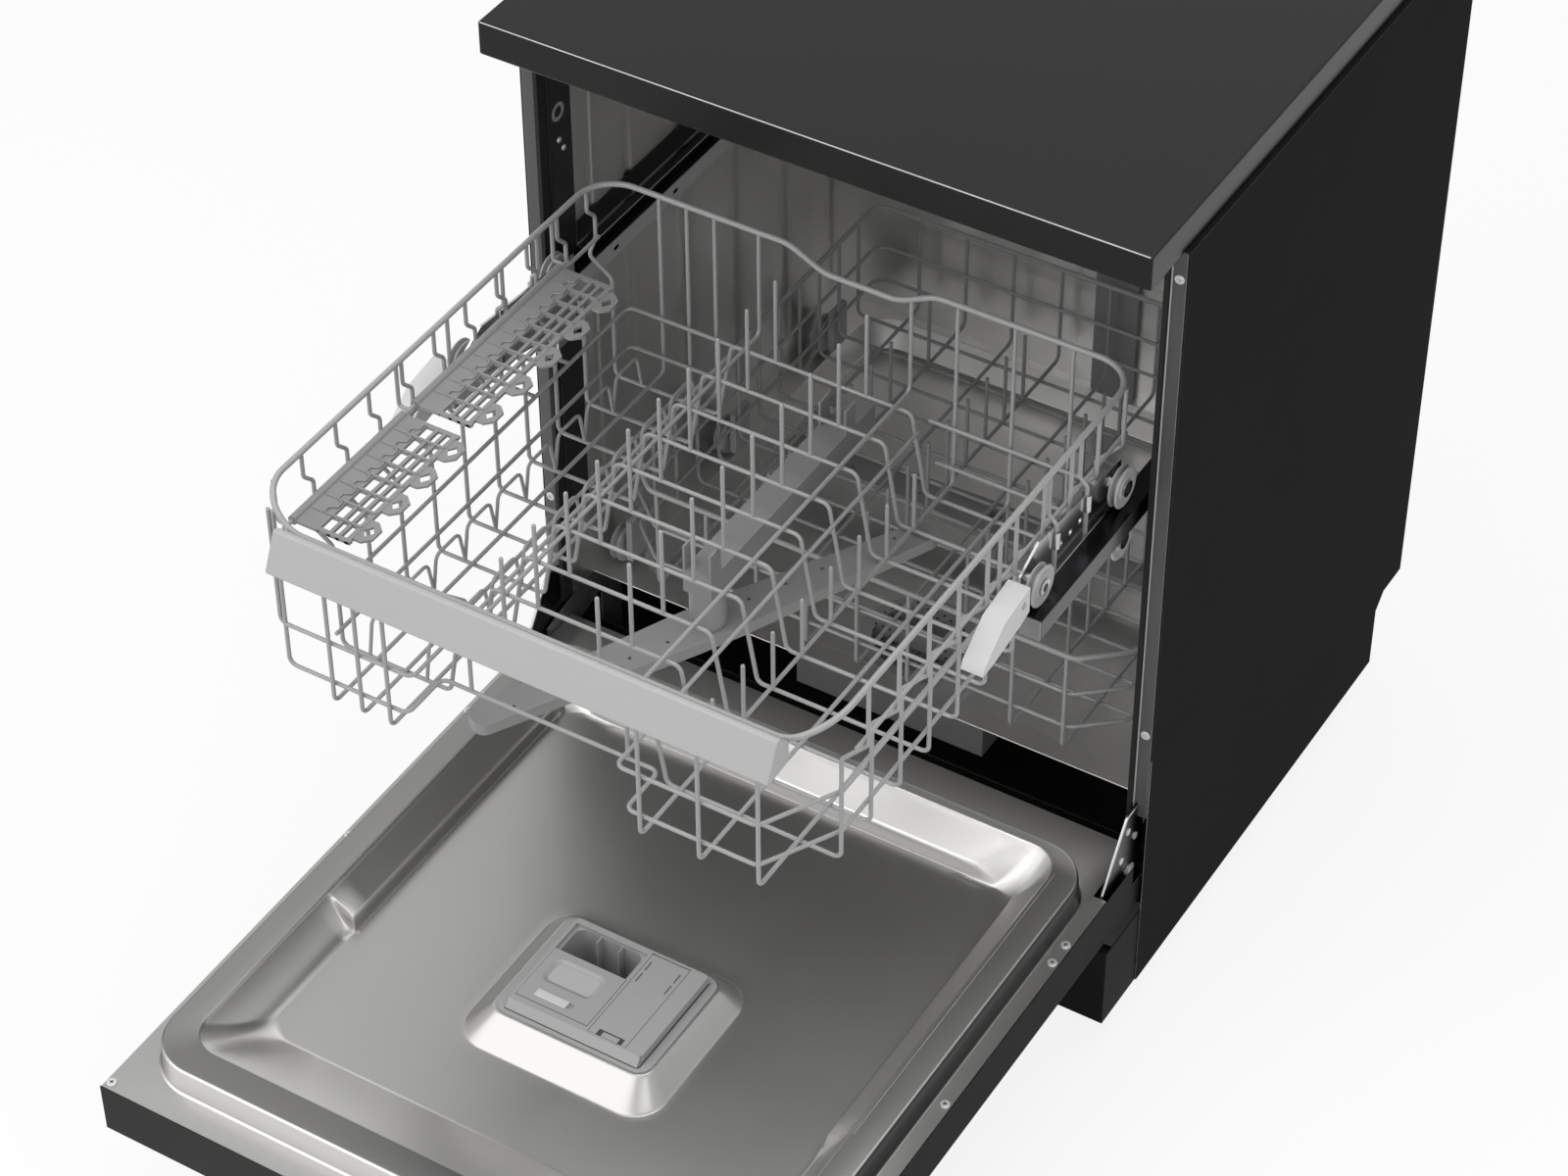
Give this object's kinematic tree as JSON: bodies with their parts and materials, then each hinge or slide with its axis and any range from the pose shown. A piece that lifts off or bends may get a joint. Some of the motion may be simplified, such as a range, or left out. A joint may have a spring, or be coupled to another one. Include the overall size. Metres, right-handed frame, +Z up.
{
  "type": "dishwasher",
  "caption": "Freestanding dishwasher with a drop-down door standing open, an upper wire rack on sliding rails pulled out, a wheeled lower rack and a stainless tub.",
  "frame": {"origin": "on the floor, at the middle of the box around the part with the door open", "axes": "+X to the right seen from the front, +Y to the back, +Z up"},
  "size_m": [0.598, 1.17, 0.845],
  "materials": {
    "worktop_laminate": "satin charcoal laminate",
    "charcoal_paint": "satin charcoal powder coat",
    "galvanised_sheet": "dull galvanised",
    "black_plastic": "moulded matt",
    "stainless": "satin stainless",
    "stainless_door": "satin pressed stainless",
    "grey_plastic": "moulded satin",
    "frame_black": "black paint",
    "gasket_rubber": "black rubber",
    "white_plastic": "moulded satin white",
    "screw_steel": "plated",
    "bright_steel": "bright rolled",
    "fascia_plastic": "satin charcoal",
    "display_gloss": "gloss black window",
    "dispenser_plastic": "moulded satin grey",
    "roller_plastic": "moulded grey",
    "coated_wire": "grey nylon coat",
    "handle_plastic": "satin light grey",
    "shelf_plastic": "moulded grey"
  },
  "bodies": {
    "cabinet": {"worktop": "worktop_laminate", "left_side_panel": "charcoal_paint", "right_side_panel": "charcoal_paint", "rear_panel": "galvanised_sheet", "base_tray": "black_plastic", "levelling_feet": "black_plastic", "plinth": "charcoal_paint", "tub_wrap": "stainless", "tub_rear_wall": "stainless", "tub_floor": "stainless", "sump": "grey_plastic", "circulation_pump": "black_plastic", "front_frame": "frame_black", "door_gasket": "gasket_rubber", "inlet_valve": "white_plastic", "drain_outlet": "black_plastic", "cord_gland": "black_plastic", "feed_pipe": "grey_plastic", "hinge_brackets": "galvanised_sheet", "cabinet_screws": "screw_steel", "rail_guides": "bright_steel"},
    "filter": {"filter_cup": "grey_plastic"},
    "lower_spray": {"lower_spray_arm": "grey_plastic"},
    "door": {"hinge_arms": "bright_steel", "door_inner_panel": "stainless_door", "door_outer_panel": "charcoal_paint", "control_fascia": "fascia_plastic", "display_strip": "display_gloss", "door_latch": "bright_steel", "door_screws": "screw_steel", "dispenser_housing": "dispenser_plastic"},
    "power_key": {"power_button": "fascia_plastic"},
    "lid": {"detergent_lid": "dispenser_plastic"},
    "lid_latch": {"lid_latch_button": "white_plastic"},
    "flap": {"rinse_flap": "dispenser_plastic"},
    "rails": {"rack_rails": "bright_steel", "rail_end_caps": "roller_plastic"},
    "carriage": {"roller_brackets": "bright_steel"},
    "upper_rack": {"upper_basket": "coated_wire", "rack_handle": "handle_plastic", "upper_spray_duct": "grey_plastic"},
    "shelf_front": {"cup_shelf_front": "shelf_plastic"},
    "shelf_rear": {"cup_shelf_rear": "shelf_plastic"},
    "lever_left": {"height_lever_left": "white_plastic"},
    "lever_right": {"height_lever_right": "white_plastic"},
    "upper_spray": {"upper_spray_arm": "grey_plastic"},
    "lower_rack": {"lower_basket": "coated_wire", "wheel_clips": "roller_plastic"},
    "roller_front_left_body": {"roller_front_left": "roller_plastic"},
    "roller_front_right_body": {"roller_front_right": "roller_plastic"},
    "roller_rear_left_body": {"roller_rear_left": "roller_plastic"},
    "roller_rear_right_body": {"roller_rear_right": "roller_plastic"},
    "roller_low_left_body": {"roller_low_left": "roller_plastic"},
    "roller_low_right_body": {"roller_low_right": "roller_plastic"},
    "wheel_1_left_body": {"wheel_1_left": "roller_plastic"},
    "wheel_1_right_body": {"wheel_1_right": "roller_plastic"},
    "wheel_2_left_body": {"wheel_2_left": "roller_plastic"},
    "wheel_2_right_body": {"wheel_2_right": "roller_plastic"},
    "wheel_3_left_body": {"wheel_3_left": "roller_plastic"},
    "wheel_3_right_body": {"wheel_3_right": "roller_plastic"}
  },
  "joints": [
    {"name": "door_hinge", "type": "hinge", "parent": "cabinet", "child": "door", "pos_m": [0, 0.053, 0.171], "axis": [1, 0, 0], "range_deg": [-90, 0]},
    {"name": "rail_slide", "type": "slide", "parent": "cabinet", "child": "rails", "axis": [0, -1, 0], "range_m": [-0.1951, 0.0001]},
    {"name": "rack_slide", "type": "slide", "parent": "rails", "child": "carriage", "axis": [0, -1, 0], "range_m": [-0.2701, 0.0001]},
    {"name": "rack_lift", "type": "slide", "parent": "carriage", "child": "upper_rack", "axis": [0, 0, 1], "range_m": [0, 0.05]},
    {"name": "roller_front_left_spin", "type": "hinge", "parent": "carriage", "child": "roller_front_left_body", "pos_m": [-0.263, -0.085, 0.58566], "axis": [1, 0, 0], "range_deg": [-880, 1]},
    {"name": "roller_front_right_spin", "type": "hinge", "parent": "carriage", "child": "roller_front_right_body", "pos_m": [0.263, -0.085, 0.58566], "axis": [1, 0, 0], "range_deg": [-880, 1]},
    {"name": "roller_rear_left_spin", "type": "hinge", "parent": "carriage", "child": "roller_rear_left_body", "pos_m": [-0.263, 0.048, 0.58566], "axis": [1, 0, 0], "range_deg": [-880, 1]},
    {"name": "roller_rear_right_spin", "type": "hinge", "parent": "carriage", "child": "roller_rear_right_body", "pos_m": [0.263, 0.048, 0.58566], "axis": [1, 0, 0], "range_deg": [-880, 1]},
    {"name": "roller_low_left_spin", "type": "hinge", "parent": "carriage", "child": "roller_low_left_body", "pos_m": [-0.263, 0.048, 0.53234], "axis": [1, 0, 0], "range_deg": [-1, 880]},
    {"name": "roller_low_right_spin", "type": "hinge", "parent": "carriage", "child": "roller_low_right_body", "pos_m": [0.263, 0.048, 0.53234], "axis": [1, 0, 0], "range_deg": [-1, 880]},
    {"name": "shelf_front_fold", "type": "hinge", "parent": "upper_rack", "child": "shelf_front", "pos_m": [-0.238, -0.27, 0.618], "axis": [0, -1, 0], "range_deg": [0, 90]},
    {"name": "shelf_rear_fold", "type": "hinge", "parent": "upper_rack", "child": "shelf_rear", "pos_m": [-0.238, -0.081, 0.618], "axis": [0, -1, 0], "range_deg": [0, 90]},
    {"name": "lever_left_pull", "type": "hinge", "parent": "upper_rack", "child": "lever_left", "pos_m": [-0.2548, -0.121, 0.595], "axis": [-1, 0, 0], "range_deg": [0, 14], "stiffness_Nm_per_rad": 0.6, "springref_deg": -20.05},
    {"name": "lever_right_pull", "type": "hinge", "parent": "upper_rack", "child": "lever_right", "pos_m": [0.2548, -0.121, 0.595], "axis": [-1, 0, 0], "range_deg": [0, 14], "stiffness_Nm_per_rad": 0.6, "springref_deg": -20.05},
    {"name": "upper_spray_spin", "type": "hinge", "parent": "upper_rack", "child": "upper_spray", "pos_m": [0, -0.137, 0.461], "axis": [0, 0, 1], "continuous": true},
    {"name": "lower_rack_slide", "type": "slide", "parent": "cabinet", "child": "lower_rack", "axis": [0, -1, 0], "range_m": [0, 0.48]},
    {"name": "wheel_1_left_spin", "type": "hinge", "parent": "lower_rack", "child": "wheel_1_left_body", "pos_m": [-0.267, 0.14, 0.22185], "axis": [1, 0, 0], "range_deg": [-1, 1529]},
    {"name": "wheel_1_right_spin", "type": "hinge", "parent": "lower_rack", "child": "wheel_1_right_body", "pos_m": [0.267, 0.14, 0.22185], "axis": [1, 0, 0], "range_deg": [-1, 1529]},
    {"name": "wheel_2_left_spin", "type": "hinge", "parent": "lower_rack", "child": "wheel_2_left_body", "pos_m": [-0.267, 0.315, 0.22185], "axis": [1, 0, 0], "range_deg": [-1, 1529]},
    {"name": "wheel_2_right_spin", "type": "hinge", "parent": "lower_rack", "child": "wheel_2_right_body", "pos_m": [0.267, 0.315, 0.22185], "axis": [1, 0, 0], "range_deg": [-1, 1529]},
    {"name": "wheel_3_left_spin", "type": "hinge", "parent": "lower_rack", "child": "wheel_3_left_body", "pos_m": [-0.267, 0.49, 0.22185], "axis": [1, 0, 0], "range_deg": [-1, 1529]},
    {"name": "wheel_3_right_spin", "type": "hinge", "parent": "lower_rack", "child": "wheel_3_right_body", "pos_m": [0.267, 0.49, 0.22185], "axis": [1, 0, 0], "range_deg": [-1, 1529]},
    {"name": "lower_spray_spin", "type": "hinge", "parent": "cabinet", "child": "lower_spray", "pos_m": [0, 0.342, 0.212], "axis": [0, 0, 1], "continuous": true},
    {"name": "filter_twist", "type": "hinge", "parent": "cabinet", "child": "filter", "pos_m": [0, 0.205, 0.16], "axis": [0, 0, 1], "range_deg": [0, 60]},
    {"name": "power_press", "type": "slide", "parent": "door", "child": "power_key", "axis": [0, 0, 1], "range_m": [0, 0.002], "stiffness_N_per_m": 500, "springref_m": -0.002},
    {"name": "lid_slide", "type": "slide", "parent": "door", "child": "lid", "axis": [0, 1, 0], "range_m": [0, 0.032]},
    {"name": "lid_latch_press", "type": "slide", "parent": "lid", "child": "lid_latch", "axis": [0, 0, -1], "range_m": [0, 0.002], "stiffness_N_per_m": 400, "springref_m": -0.002},
    {"name": "flap_hinge", "type": "hinge", "parent": "door", "child": "flap", "pos_m": [0.033, -0.2553, 0.197], "axis": [1, 0, 0], "range_deg": [-85, 0]}
  ],
  "couplings": [
    {"joint": "rail_slide", "follows": "door_hinge", "m_per_rad": 0.12414},
    {"joint": "rack_slide", "follows": "door_hinge", "m_per_rad": 0.17189},
    {"joint": "roller_front_left_spin", "follows": "door_hinge", "ratio": 9.7663},
    {"joint": "roller_front_right_spin", "follows": "door_hinge", "ratio": 9.7663},
    {"joint": "roller_rear_left_spin", "follows": "door_hinge", "ratio": 9.7663},
    {"joint": "roller_rear_right_spin", "follows": "door_hinge", "ratio": 9.7663},
    {"joint": "roller_low_left_spin", "follows": "door_hinge", "ratio": -9.7663},
    {"joint": "roller_low_right_spin", "follows": "door_hinge", "ratio": -9.7663},
    {"joint": "wheel_1_left_spin", "follows": "lower_rack_slide", "rad_per_m": 55.556},
    {"joint": "wheel_1_right_spin", "follows": "lower_rack_slide", "rad_per_m": 55.556},
    {"joint": "wheel_2_left_spin", "follows": "lower_rack_slide", "rad_per_m": 55.556},
    {"joint": "wheel_2_right_spin", "follows": "lower_rack_slide", "rad_per_m": 55.556},
    {"joint": "wheel_3_left_spin", "follows": "lower_rack_slide", "rad_per_m": 55.556},
    {"joint": "wheel_3_right_spin", "follows": "lower_rack_slide", "rad_per_m": 55.556}
  ]
}
